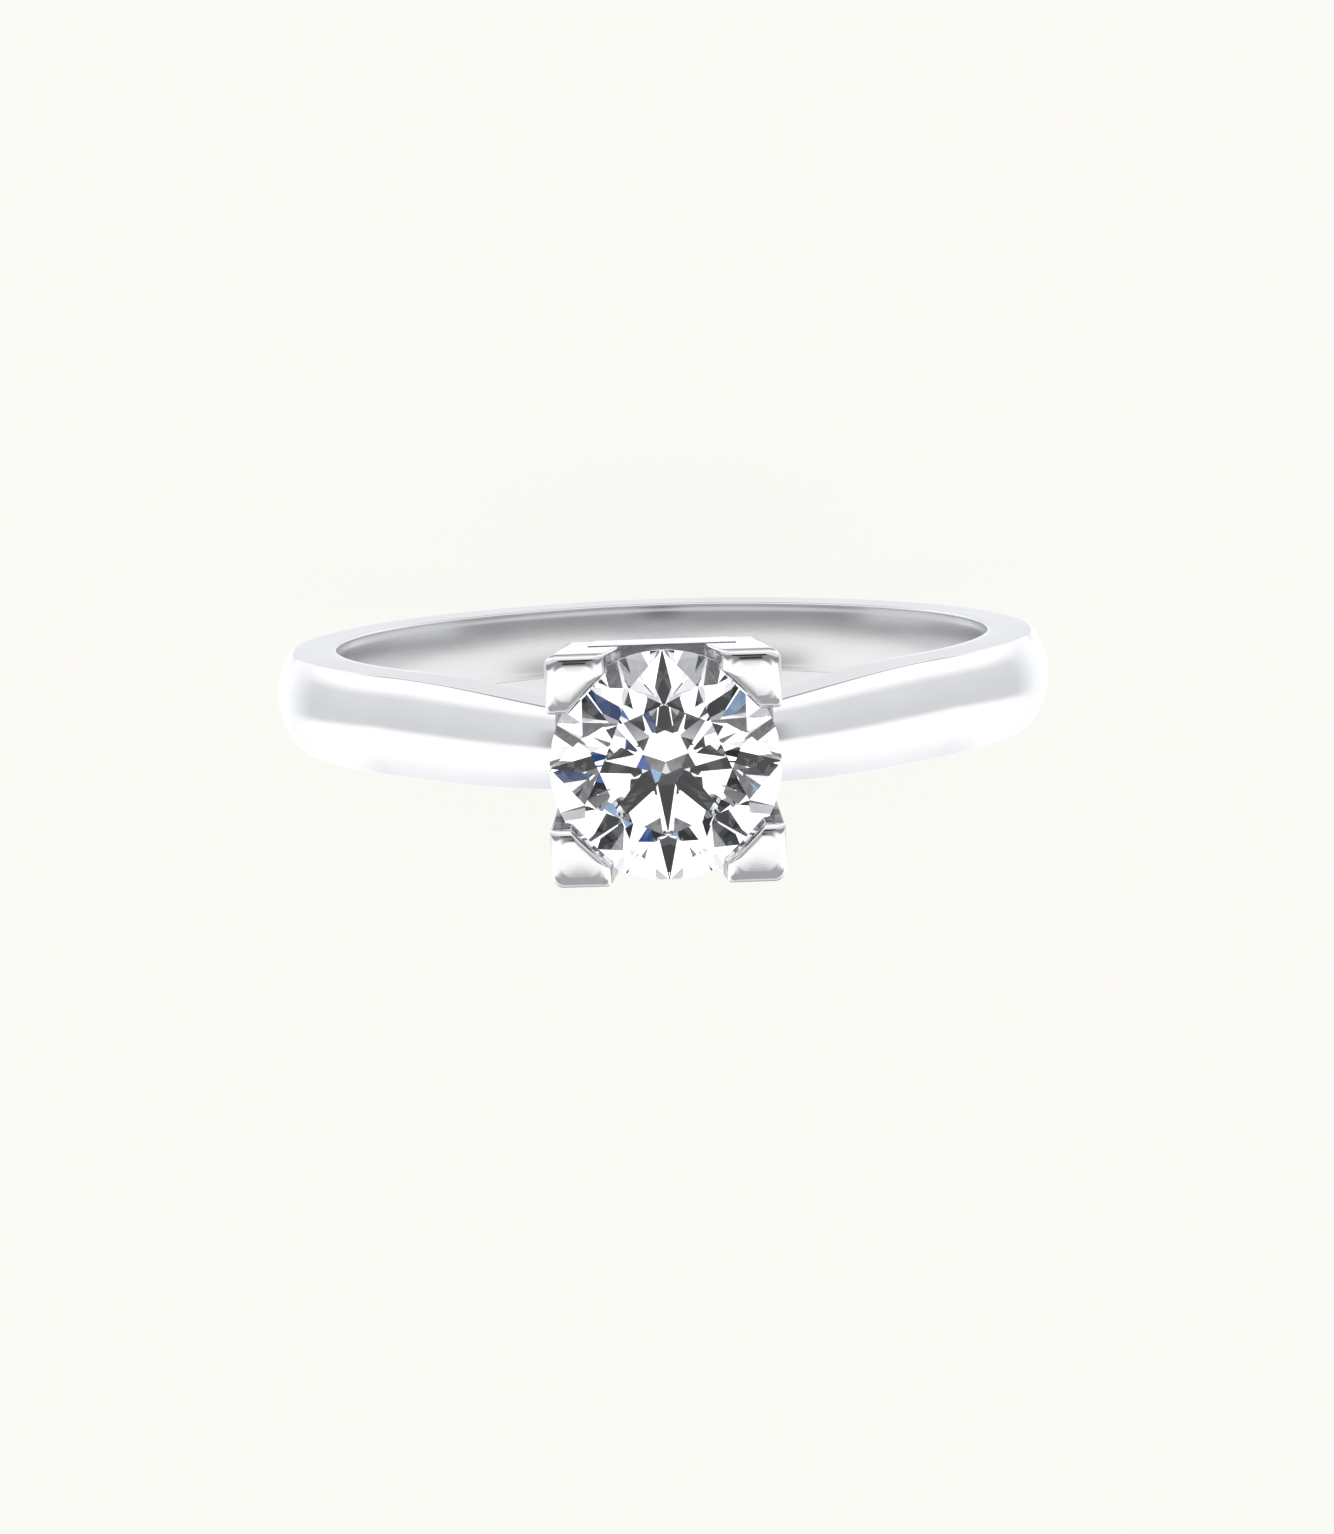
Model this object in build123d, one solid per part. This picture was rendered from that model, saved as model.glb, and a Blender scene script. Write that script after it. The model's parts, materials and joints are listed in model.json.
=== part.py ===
"""Solitaire engagement ring: a round brilliant held by four square corner claws on a raised gallery.

Frame: +Z up through the stone, Y along the finger, origin at the centre of the finger hole.
Millimetres throughout. Each piece is written to parts/NODE.step.
"""

import os
from math import atan2, cos, radians, sin, sqrt, tan

from build123d import *

# Finger hole and shank
BORE_RADIUS = 8.45  # finger hole, an inside diameter of 16.9
BACK_WIDTH = 1.92  # across the shank behind the finger
SHOULDER_WIDTH = 2.52  # widest place, on each shoulder
TIP_WIDTH = 1.90  # where a shoulder meets the gallery rail
SIDE_WALL = 1.26  # height of the shank's flat sides
DOME_RISE = 0.42  # rounded top above the flat sides
TIP_WALL = 0.86
TIP_RISE = 0.27
LIP_ROUND = 0.15  # rounded edge beside the finger hole
LIP_SLOPE = 25.0  # that edge's slope where it meets the hole, in degrees
LIP_FLAT = 0.02  # height of the straight part below the round
CORNER_ROUND = 0.10  # rounded edge between the sides and the dome
LEAVE_ANGLE = 46.0  # from the stone's axis: a shoulder leaves the finger circle here
WIDEST_SHARE = 0.76  # share of the way from the back to the tip where the shank is widest
NARROW_SHARE = 0.10  # up to this share the back keeps its width
TIP_SLOPE = 45.0  # a shoulder's rise where it meets the rail
TIP_ABOVE_RAIL_FOOT = 0.08  # a shoulder's underside meets the rail this far above its foot
ARC_SECTIONS = 22  # sections round the finger, on each half
SWEEP_SECTIONS = 12  # sections along a shoulder

# Stone
STONE_DIAMETER = 5.52
TABLE_SHARE = 0.57  # of the stone's diameter, corner to corner
CROWN_ANGLE = 34.5
PAVILION_ANGLE = 40.8
STAR_SHARE = 0.50
LOWER_HALF_SHARE = 0.77
GIRDLE_SHARE = 0.030  # of the stone's diameter
FOLD = 8  # main facets round the stone

# Head
HEAD_HEIGHT = 6.95  # claws' tops above the top of the finger hole
CLAW_OUTSIDE = 0.08  # claws' outer faces beyond the stone's edge
HEAD_DRAFT = 4.3  # lean of the claws' and rail's outer faces, in degrees
GIRDLE_BELOW_CLAW_TOP = 0.70  # to the middle of the girdle
RAIL_BELOW_CLAW_TOP = 2.80  # to the rail's top face
RAIL_HEIGHT = 2.20
RAIL_WALL = 0.78
RAIL_INNER_ROUND = 0.80
CLAW_WIDTH_TOP = 1.43
CLAW_WIDTH_FOOT = 1.61  # where it stands on the rail
CLAW_GRIP_TOP = 0.115  # a claw's slanted face stands this far inside the stone's edge, at its top
CLAW_FACE_LEAN = 11.0  # of the slanted face, in degrees
CLAW_CORNER_ROUND = 0.30
CLAW_TIP_ROUND = 0.20
LEG_SIDE = 0.84
BASE_TOP_HALF = 1.88
BASE_FOOT_HALF = 1.76
BASE_HEIGHT = 0.88  # above the top of the finger hole
BASE_HOLE_RADIUS = 1.02

# Cutting allowances
PROUD = 0.06  # the shank blank stands this far into the finger hole before it is bored
OVERCUT = 1.0

# Worked out from the sizes above
STONE_RADIUS = STONE_DIAMETER / 2
CLAW_TOP_Z = BORE_RADIUS + HEAD_HEIGHT
HEAD_TOP_HALF = STONE_RADIUS + CLAW_OUTSIDE
GIRDLE_Z = CLAW_TOP_Z - GIRDLE_BELOW_CLAW_TOP
HALF_GIRDLE = GIRDLE_SHARE * STONE_DIAMETER / 2
RAIL_TOP_Z = CLAW_TOP_Z - RAIL_BELOW_CLAW_TOP
RAIL_FOOT_Z = RAIL_TOP_Z - RAIL_HEIGHT
RAIL_TOP_HALF = HEAD_TOP_HALF - RAIL_BELOW_CLAW_TOP * tan(radians(HEAD_DRAFT))
RAIL_FOOT_HALF = RAIL_TOP_HALF - RAIL_HEIGHT * tan(radians(HEAD_DRAFT))
CLAW_FACE_TOP = STONE_RADIUS - CLAW_GRIP_TOP
CLAW_FACE_FOOT = CLAW_FACE_TOP - RAIL_BELOW_CLAW_TOP * tan(radians(CLAW_FACE_LEAN))
BASE_TOP_Z = BORE_RADIUS + BASE_HEIGHT
LEG_FOOT_Z = sqrt(BORE_RADIUS**2 - BASE_FOOT_HALF**2) - 0.1
LEG_LEVELS = [
    (LEG_FOOT_Z, BASE_FOOT_HALF),
    (BASE_TOP_Z, BASE_TOP_HALF),
    (RAIL_FOOT_Z, RAIL_FOOT_HALF),
    (RAIL_TOP_Z, RAIL_TOP_HALF),
]
CORNERS = {"left_rear": (-1, 1), "right_rear": (1, 1), "left_front": (-1, -1), "right_front": (1, -1)}


def ease(share):
    """0 to 1, level at both ends."""
    share = min(max(share, 0.0), 1.0)
    return share * share * (3 - 2 * share)


def head_half(z):
    """Outer half width of the claws and the rail at a height."""
    return HEAD_TOP_HALF - (CLAW_TOP_Z - z) * tan(radians(HEAD_DRAFT))


# ---- shank ----


def shank_path():
    """Inner line of one half, from the back of the finger to inside the head, as points with outward normals."""
    leave = radians(LEAVE_ANGLE)
    stations = []
    for i in range(ARC_SECTIONS + 1):
        angle = radians(180) + (leave - radians(180)) * i / ARC_SECTIONS
        outward = (sin(angle), cos(angle))
        stations.append((BORE_RADIUS * outward[0], BORE_RADIUS * outward[1], outward))

    slope = radians(TIP_SLOPE)
    meet_z = RAIL_FOOT_Z + TIP_ABOVE_RAIL_FOOT
    meet_x = head_half(meet_z)
    inside = (TIP_WALL + TIP_RISE) * sin(slope) + 0.1
    start = (BORE_RADIUS * sin(leave), BORE_RADIUS * cos(leave))
    end = (meet_x - inside, meet_z + inside * tan(slope))
    reach = sqrt((end[0] - start[0]) ** 2 + (end[1] - start[1]) ** 2) / 3
    guides = [
        start,
        (start[0] - reach * cos(leave), start[1] + reach * sin(leave)),
        (end[0] + reach * cos(slope), end[1] - reach * sin(slope)),
        end,
    ]
    for i in range(1, SWEEP_SECTIONS + 1):
        t = i / SWEEP_SECTIONS
        weights = [(1 - t) ** 3, 3 * t * (1 - t) ** 2, 3 * t * t * (1 - t), t**3]
        rates = [-((1 - t) ** 2), (1 - t) * (1 - 3 * t), t * (2 - 3 * t), t * t]
        x, z = (sum(w * g[k] for w, g in zip(weights, guides)) for k in (0, 1))
        dx, dz = (sum(w * g[k] for w, g in zip(rates, guides)) for k in (0, 1))
        length = sqrt(dx * dx + dz * dz)
        stations.append((x, z, (dz / length, -dx / length)))
    return stations


def shank_section(x, z, outward, share, proud):
    """Closed D section square to the path: flat inside, flat sides, domed outside."""
    rise = ease((share - NARROW_SHARE) / (WIDEST_SHARE - NARROW_SHARE))
    taper = max(0.0, (share - WIDEST_SHARE) / (1 - WIDEST_SHARE)) ** 2
    width = BACK_WIDTH + (SHOULDER_WIDTH - BACK_WIDTH) * rise + (TIP_WIDTH - SHOULDER_WIDTH) * taper
    wall = SIDE_WALL + (TIP_WALL - SIDE_WALL) * taper
    crown = DOME_RISE + (TIP_RISE - DOME_RISE) * taper
    half = width / 2

    dome_radius = (half**2 + crown**2) / (2 * crown)
    centre = wall + crown - dome_radius
    corner_y = half - CORNER_ROUND
    corner_z = centre + sqrt((dome_radius - CORNER_ROUND) ** 2 - corner_y**2)
    lean = atan2(corner_y, corner_z - centre)
    dome_end = (corner_y + CORNER_ROUND * sin(lean), corner_z + CORNER_ROUND * cos(lean))
    middle = (lean + radians(90)) / 2
    corner_mid = (corner_y + CORNER_ROUND * sin(middle), corner_z + CORNER_ROUND * cos(middle))
    lip_slope = radians(LIP_SLOPE)
    lip_mid = (lip_slope + radians(90)) / 2
    lip_z = LIP_FLAT + LIP_ROUND * cos(lip_slope)
    lip = [
        (half, lip_z),
        (half - LIP_ROUND * (1 - sin(lip_mid)), lip_z - LIP_ROUND * cos(lip_mid)),
        (half - LIP_ROUND * (1 - sin(lip_slope)), LIP_FLAT),
    ]
    foot = (lip[2][0] - (LIP_FLAT + proud) / tan(lip_slope), -proud)

    def mirrored(point):
        return (-point[0], point[1])

    plane = Plane(origin=(x, 0, z), x_dir=(0, 1, 0), z_dir=(outward[1], 0, -outward[0]))
    edges = [
        Line(mirrored(foot), foot),
        Line(foot, lip[2]),
        ThreePointArc(lip[2], lip[1], lip[0]),
        Line(lip[0], (half, corner_z)),
        ThreePointArc((half, corner_z), corner_mid, dome_end),
        ThreePointArc(dome_end, (0, wall + crown), mirrored(dome_end)),
        ThreePointArc(mirrored(dome_end), mirrored(corner_mid), (-half, corner_z)),
        Line((-half, corner_z), mirrored(lip[0])),
        ThreePointArc(mirrored(lip[0]), mirrored(lip[1]), mirrored(lip[2])),
        Line(mirrored(lip[2]), mirrored(foot)),
    ]
    return plane * make_face(edges)


def make_shank(envelope, bore):
    """One bent strip: round the finger, then up each shoulder to the rail's sides."""
    stations = shank_path()
    lengths = [0.0]
    for (x0, z0, _), (x1, z1, _) in zip(stations, stations[1:]):
        lengths.append(lengths[-1] + sqrt((x1 - x0) ** 2 + (z1 - z0) ** 2))
    sections = [
        shank_section(x, z, outward, length / lengths[-1], PROUD)
        for (x, z, outward), length in zip(stations, lengths)
    ]
    half = loft(sections)
    blank = half + mirror(half, about=Plane.YZ)
    return blank - bore - envelope


# ---- stone ----


def polar(radius, azimuth, z):
    return Vector(radius * cos(radians(azimuth)), radius * sin(radians(azimuth)), z)


def cut_facet(stone, a, b, c):
    """Grinds the stone flat through three points, keeping the side that holds its middle."""
    normal = (b - a).cross(c - a).normalized()
    middle = Vector(0, 0, GIRDLE_Z)
    if (middle - a).dot(normal) > 0:
        normal = -normal
    return split(stone, bisect_by=Plane(origin=a, z_dir=normal), keep=Keep.BOTTOM)


def make_stone():
    """Round brilliant of 57 facets with a turned girdle."""
    step = 360 / FOLD
    half_step = radians(step / 2)
    table_radius = TABLE_SHARE * STONE_RADIUS
    top_edge, low_edge = GIRDLE_Z + HALF_GIRDLE, GIRDLE_Z - HALF_GIRDLE
    crown, pavilion = tan(radians(CROWN_ANGLE)), tan(radians(PAVILION_ANGLE))
    table_z = top_edge + crown * (STONE_RADIUS - table_radius)
    culet_z = low_edge - pavilion * STONE_RADIUS
    table_flat = table_radius * cos(half_step)
    star_radius = table_flat + STAR_SHARE * (STONE_RADIUS - table_flat)
    star_z = top_edge + crown * (STONE_RADIUS - star_radius * cos(half_step))
    half_radius = (1 - LOWER_HALF_SHARE) * STONE_RADIUS
    half_z = culet_z + pavilion * half_radius * cos(half_step)

    stone = Pos(0, 0, (table_z + culet_z) / 2) * Cylinder(STONE_RADIUS, table_z - culet_z)
    for k in range(FOLD):
        main, ridge = k * step, (k + 0.5) * step
        along = Vector(-sin(radians(main)), cos(radians(main)), 0)
        table_corner = polar(table_radius, main, table_z)
        culet = Vector(0, 0, culet_z)
        girdle_top = polar(STONE_RADIUS, main, top_edge)
        girdle_low = polar(STONE_RADIUS, main, low_edge)
        star = polar(star_radius, ridge, star_z)
        half_tip = polar(half_radius, ridge, half_z)
        stone = cut_facet(stone, table_corner, girdle_top, girdle_top + along)
        stone = cut_facet(stone, culet, girdle_low, girdle_low + along)
        stone = cut_facet(stone, star, table_corner, polar(table_radius, main + step, table_z))
        for side in (main, main + step):
            stone = cut_facet(
                stone, star, polar(STONE_RADIUS, side, top_edge), polar(STONE_RADIUS, ridge, top_edge)
            )
            stone = cut_facet(
                stone, half_tip, polar(STONE_RADIUS, side, low_edge), polar(STONE_RADIUS, ridge, low_edge)
            )
    return stone


# ---- head ----


def square(half, z):
    return Pos(0, 0, z) * RectangleRounded(2 * half, 2 * half, CLAW_CORNER_ROUND)


def head_body(levels):
    """Solid between the square levels given as (height, half width), corners rounded like the claws'."""
    body = loft([square(half, z) for z, half in levels[:2]], ruled=True)
    for (z0, half0), (z1, half1) in zip(levels[1:], levels[2:]):
        body += loft([square(half0, z0), square(half1, z1)], ruled=True)
    return body


def head_envelope():
    """Space inside the outer faces of the claws and the rail, for trimming what butts against them."""
    return head_body([(z, head_half(z)) for z in (BASE_TOP_Z, CLAW_TOP_Z + OVERCUT)])


def claw_head_section(z, outer, width, face):
    """Corner post seen from above: two outer faces, a rounded corner, two sides and a slanted inner face."""
    opening = outer - width
    near = face * sqrt(2) - opening
    turn = outer - CLAW_CORNER_ROUND
    bulge = turn + CLAW_CORNER_ROUND * sin(radians(45))
    edges = [
        Line((opening, near), (opening, outer)),
        Line((opening, outer), (turn, outer)),
        ThreePointArc((turn, outer), (bulge, bulge), (outer, turn)),
        Line((outer, turn), (outer, opening)),
        Line((outer, opening), (near, opening)),
        Line((near, opening), (opening, near)),
    ]
    return Pos(0, 0, z) * make_face(edges)


def leg_post():
    """Room taken by the right rear leg, square inside and open outwards."""
    post = None
    for (z0, half0), (z1, half1) in zip(LEG_LEVELS, LEG_LEVELS[1:]):
        feet = []
        for z, half in ((z0, half0), (z1, half1)):
            middle = half + (OVERCUT - LEG_SIDE) / 2
            feet.append(Pos(middle, middle, z) * Rectangle(LEG_SIDE + OVERCUT, LEG_SIDE + OVERCUT))
        step = loft(feet, ruled=True)
        post = step if post is None else post + step
    return post


def to_corner(piece, corner):
    """Copies a right rear piece to another corner of the head."""
    across, along = corner
    if across < 0 and along < 0:
        return Rot(0, 0, 180) * piece
    if across < 0:
        return mirror(piece, about=Plane.YZ)
    if along < 0:
        return mirror(piece, about=Plane.XZ)
    return piece


def make_claw(stone, bore):
    """Right rear claw: a thick head with a bearing cut for the stone, and a leg down to the finger hole."""
    tip = loft(
        [
            claw_head_section(RAIL_TOP_Z, RAIL_TOP_HALF, CLAW_WIDTH_FOOT, CLAW_FACE_FOOT),
            claw_head_section(CLAW_TOP_Z, HEAD_TOP_HALF, CLAW_WIDTH_TOP, CLAW_FACE_TOP),
        ],
        ruled=True,
    )
    rim = tip.faces().sort_by(Axis.Z)[-1].edges()
    outer_rim = [e for e in rim if max(e.center().X, e.center().Y) > HEAD_TOP_HALF - CLAW_CORNER_ROUND]
    tip = fillet(outer_rim, CLAW_TIP_ROUND)
    leg = head_body(LEG_LEVELS) & leg_post()
    return tip + leg - bore - stone


def make_rail():
    """Square gallery rail, with its corners rebated for the claws' legs."""
    frame = head_body([(RAIL_FOOT_Z, RAIL_FOOT_HALF), (RAIL_TOP_Z, RAIL_TOP_HALF)])
    clear = 2 * (RAIL_FOOT_HALF - RAIL_WALL)
    hole = extrude(RectangleRounded(clear, clear, RAIL_INNER_ROUND), RAIL_HEIGHT + 2 * OVERCUT)
    frame -= Pos(0, 0, RAIL_FOOT_Z - OVERCUT) * hole
    for corner in CORNERS.values():
        frame -= to_corner(leg_post(), corner)
    return frame


def make_base(bore):
    """Square base collet, hollow at its middle and curved to the finger underneath."""
    block = head_body([(LEG_FOOT_Z, BASE_FOOT_HALF), (BASE_TOP_Z, BASE_TOP_HALF)])
    block -= Pos(0, 0, BASE_TOP_Z) * Cylinder(BASE_HOLE_RADIUS, 4 * BASE_HEIGHT)
    for corner in CORNERS.values():
        block -= to_corner(leg_post(), corner)
    return block - bore


def main():
    os.makedirs("parts", exist_ok=True)
    bore = Cylinder(BORE_RADIUS, 4 * SHOULDER_WIDTH, rotation=(90, 0, 0))
    stone = make_stone()
    claw = make_claw(stone, bore)
    pieces = {
        "shank": make_shank(head_envelope(), bore),
        "diamond": stone,
        "gallery_rail": make_rail(),
        "base_collet": make_base(bore),
    }
    for name, corner in CORNERS.items():
        pieces[f"claw_{name}"] = to_corner(claw, corner)
    for name, piece in pieces.items():
        export_step(piece, f"parts/{name}.step")
        print(name, "volume", round(piece.volume, 3))


main()
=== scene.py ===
"""Looks for the solitaire engagement ring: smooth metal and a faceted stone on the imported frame.

Metres. +Z up through the stone, Y along the finger, origin at the centre of the finger hole.
"""

import json
import math

import bmesh
import bpy
from mathutils import Matrix, Vector


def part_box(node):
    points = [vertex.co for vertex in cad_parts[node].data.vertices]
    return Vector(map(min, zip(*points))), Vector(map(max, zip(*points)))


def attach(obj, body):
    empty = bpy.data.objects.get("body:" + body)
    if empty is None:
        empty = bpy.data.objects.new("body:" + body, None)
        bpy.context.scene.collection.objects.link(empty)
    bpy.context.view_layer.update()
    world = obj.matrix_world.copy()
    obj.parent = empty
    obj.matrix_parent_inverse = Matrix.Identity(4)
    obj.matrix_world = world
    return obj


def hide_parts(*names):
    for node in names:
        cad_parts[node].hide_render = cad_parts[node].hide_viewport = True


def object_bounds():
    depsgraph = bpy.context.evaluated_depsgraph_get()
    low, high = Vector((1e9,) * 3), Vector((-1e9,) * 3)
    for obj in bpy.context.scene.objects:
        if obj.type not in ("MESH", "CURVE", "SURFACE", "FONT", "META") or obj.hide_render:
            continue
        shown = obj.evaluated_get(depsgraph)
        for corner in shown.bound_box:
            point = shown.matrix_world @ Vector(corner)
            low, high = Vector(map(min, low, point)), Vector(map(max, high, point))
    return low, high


MM = 0.001

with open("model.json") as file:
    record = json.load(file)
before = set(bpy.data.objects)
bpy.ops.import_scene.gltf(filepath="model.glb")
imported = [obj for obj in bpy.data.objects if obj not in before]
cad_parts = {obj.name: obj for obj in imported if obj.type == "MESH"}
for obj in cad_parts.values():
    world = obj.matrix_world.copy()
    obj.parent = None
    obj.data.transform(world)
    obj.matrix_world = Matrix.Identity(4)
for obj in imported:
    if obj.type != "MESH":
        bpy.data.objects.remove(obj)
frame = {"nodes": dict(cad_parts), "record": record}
cad_low, cad_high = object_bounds()

# ---- sizes in millimetres, most of them read back from the frame ----


def box_mm(node):
    """Low and high corners of a CAD node's box, in millimetres."""
    low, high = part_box(node)
    return low / MM, high / MM


stone_high = box_mm("diamond")[1]
rail_low, rail_high = box_mm("gallery_rail")
base_high = box_mm("base_collet")[1]
claw_high = box_mm("claw_right_rear")[1]
bore_mount = next(m for m in frame["record"]["mounts"] if m["name"] == "finger_bore")

BORE = bore_mount["dims"]["r_mm"]
STONE_R = stone_high.x
CLAW_TOP = claw_high.z
HEAD_HALF = claw_high.x
RAIL_TOP = rail_high.z
RAIL_FOOT = rail_low.z
DRAFT = math.tan(math.radians(4.3))  # slope of the head's outer faces
RAIL_TOP_HALF = HEAD_HALF - (CLAW_TOP - RAIL_TOP) * DRAFT
RAIL_FOOT_HALF = HEAD_HALF - (CLAW_TOP - RAIL_FOOT) * DRAFT
BASE_TOP = base_high.z
BASE_TOP_HALF = base_high.x
BASE_TAPER = 0.12
BASE_FOOT_HALF = BASE_TOP_HALF - BASE_TAPER
LEG_SIDE = 0.84
GIRDLE_BELOW_CLAW_TOP = 0.70
GIRDLE_Z = CLAW_TOP - GIRDLE_BELOW_CLAW_TOP


# ---- mesh helpers ----


def new_object(name, bm):
    """Object from a bmesh in millimetres."""
    bmesh.ops.recalc_face_normals(bm, faces=bm.faces)
    bmesh.ops.scale(bm, vec=(MM, MM, MM), verts=bm.verts)
    mesh = bpy.data.meshes.new(name)
    bm.to_mesh(mesh)
    bm.free()
    obj = bpy.data.objects.new(name, mesh)
    bpy.context.scene.collection.objects.link(obj)
    return obj


def loft(loops):
    """Skin over closed loops of equal length, in order, closed at both ends."""
    bm = bmesh.new()
    rows = [[bm.verts.new(p) for p in loop] for loop in loops]
    count = len(rows[0])
    for a, b in zip(rows, rows[1:]):
        for i in range(count):
            j = (i + 1) % count
            bm.faces.new((a[i], a[j], b[j], b[i]))
    bm.faces.new(rows[0])
    bm.faces.new(rows[-1])
    return bm


def edges_of(cut):
    """Edges that a bisecting plane left."""
    return [e for e in cut["geom_cut"] if isinstance(e, bmesh.types.BMEdge)]


def rounded_polygon(corners, radii, steps):
    """Convex polygon in a plane with each corner turned into an arc."""
    loop = []
    count = len(corners)
    for i, (corner, radius) in enumerate(zip(corners, radii)):
        c = Vector(corner)
        to_last = (Vector(corners[i - 1]) - c).normalized()
        to_next = (Vector(corners[(i + 1) % count]) - c).normalized()
        half = to_last.angle(to_next) / 2
        centre = c + (to_last + to_next).normalized() * (radius / math.sin(half))
        start = c + to_last * (radius / math.tan(half)) - centre
        end = c + to_next * (radius / math.tan(half)) - centre
        turn = math.atan2(start.x * end.y - start.y * end.x, start.dot(end))
        for k in range(steps + 1):
            cos, sin = math.cos(turn * k / steps), math.sin(turn * k / steps)
            loop.append(centre + Vector((start.x * cos - start.y * sin, start.x * sin + start.y * cos)))
    return loop


def apply_modifiers(obj):
    """Replace the mesh by what its modifiers make of it."""
    graph = bpy.context.evaluated_depsgraph_get()
    mesh = bpy.data.meshes.new_from_object(obj.evaluated_get(graph))
    obj.modifiers.clear()
    obj.data = mesh


def add_boolean(obj, tool, operation):
    m = obj.modifiers.new("cut", "BOOLEAN")
    m.object = tool
    m.operation = operation
    m.solver = "EXACT"


def smooth(obj, angle=35):
    """Smooth shading with crisp flats: edges sharper than the angle stay sharp, large faces lead the normals."""
    for p in obj.data.polygons:
        p.use_smooth = True
    bm = bmesh.new()
    bm.from_mesh(obj.data)
    limit = math.radians(angle)
    for e in bm.edges:
        e.smooth = len(e.link_faces) == 2 and e.calc_face_angle() < limit
    bm.to_mesh(obj.data)
    bm.free()
    m = obj.modifiers.new("normals", "WEIGHTED_NORMAL")
    m.weight = 100
    m.keep_sharp = True


# ---- materials ----


class Nodes:
    """Short way to build a node tree."""

    def __init__(self, tree):
        self.tree = tree
        tree.nodes.clear()

    def add(self, kind, **settings):
        node = self.tree.nodes.new(kind)
        for key, value in settings.items():
            setattr(node, key, value)
        return node

    def link(self, a, b):
        self.tree.links.new(a, b)

    def maths(self, operation, a, b=None, c=None):
        """Math node; each operand is a number or a socket."""
        node = self.add("ShaderNodeMath", operation=operation)
        for i, v in enumerate((a, b, c)):
            if v is None:
                continue
            if isinstance(v, (int, float)):
                node.inputs[i].default_value = v
            else:
                self.link(v, node.inputs[i])
        return node.outputs[0]

    def noise(self, vector, scale, detail=3.0):
        node = self.add("ShaderNodeTexNoise")
        node.inputs["Scale"].default_value = scale
        node.inputs["Detail"].default_value = detail
        self.link(vector, node.inputs["Vector"])
        return node.outputs["Fac"]

    def stretched(self, vector, scale):
        """The vector scaled by its own factor on each axis."""
        node = self.add("ShaderNodeMapping")
        node.inputs["Scale"].default_value = scale
        self.link(vector, node.inputs["Vector"])
        return node.outputs[0]

    def ramp(self, value, stops):
        node = self.add("ShaderNodeValToRGB")
        ramp = node.color_ramp
        while len(ramp.elements) < len(stops):
            ramp.elements.new(0.5)
        for element, (place, colour) in zip(ramp.elements, stops):
            element.position = place
            element.color = (*colour, 1)
        self.link(value, node.inputs[0])
        return node.outputs[0]


def new_material(name):
    m = bpy.data.materials.new(name)
    m.use_nodes = True
    return m, Nodes(m.node_tree)


METAL_DARK, METAL_LIGHT = (0.80, 0.80, 0.805), (0.85, 0.85, 0.855)
BUMP_DISTANCE = 0.00001
CUTS_PER_METRE, CUT_WANDER = 9000.0, 500.0
FACES_AXIS = -0.4 * MM


def file_lines_and_shade(n, place, height, tint, tone):
    """Lay upright file lines over a finish, on the walls that face the axis, their dark tone also painted shade
    there: the new height and colour.
    """
    axes = n.add("ShaderNodeSeparateXYZ")
    n.link(place, axes.inputs[0])
    x, y, z = axes.outputs
    on_y_wall = n.maths("GREATER_THAN", n.maths("ABSOLUTE", y), n.maths("ABSOLUTE", x))
    along = n.maths("MULTIPLY_ADD", n.maths("SUBTRACT", x, y), on_y_wall, y)
    cut = n.add("ShaderNodeCombineXYZ")
    n.link(n.maths("MULTIPLY", along, CUTS_PER_METRE), cut.inputs[0])
    n.link(n.maths("MULTIPLY", z, CUT_WANDER), cut.inputs[2])
    strokes = n.noise(cut.outputs[0], 1.0, 2.0)
    normal = n.add("ShaderNodeSeparateXYZ")
    n.link(n.add("ShaderNodeNewGeometry").outputs["True Normal"], normal.inputs[0])
    across = n.maths("MULTIPLY", normal.outputs[0], x)
    outward = n.maths("MULTIPLY_ADD", normal.outputs[1], y, across)
    on_wall = n.maths("LESS_THAN", outward, FACES_AXIS)
    faint = n.maths("MULTIPLY", height, 0.04)
    height = n.maths("MULTIPLY_ADD", n.maths("MULTIPLY", strokes, 2.0), on_wall, faint)
    # Painted shade: the file lines darken the walls that face the axis.
    shaded_stripes = n.ramp(strokes, [(0.42, (tone, tone, tone)), (0.60, (0.92, 0.92, 0.93))])
    toned = n.add("ShaderNodeMix", data_type="RGBA", blend_type="MULTIPLY")
    n.link(on_wall, toned.inputs[0])
    n.link(tint, toned.inputs[6])
    n.link(shaded_stripes, toned.inputs[7])
    return height, toned.outputs[2]


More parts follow.
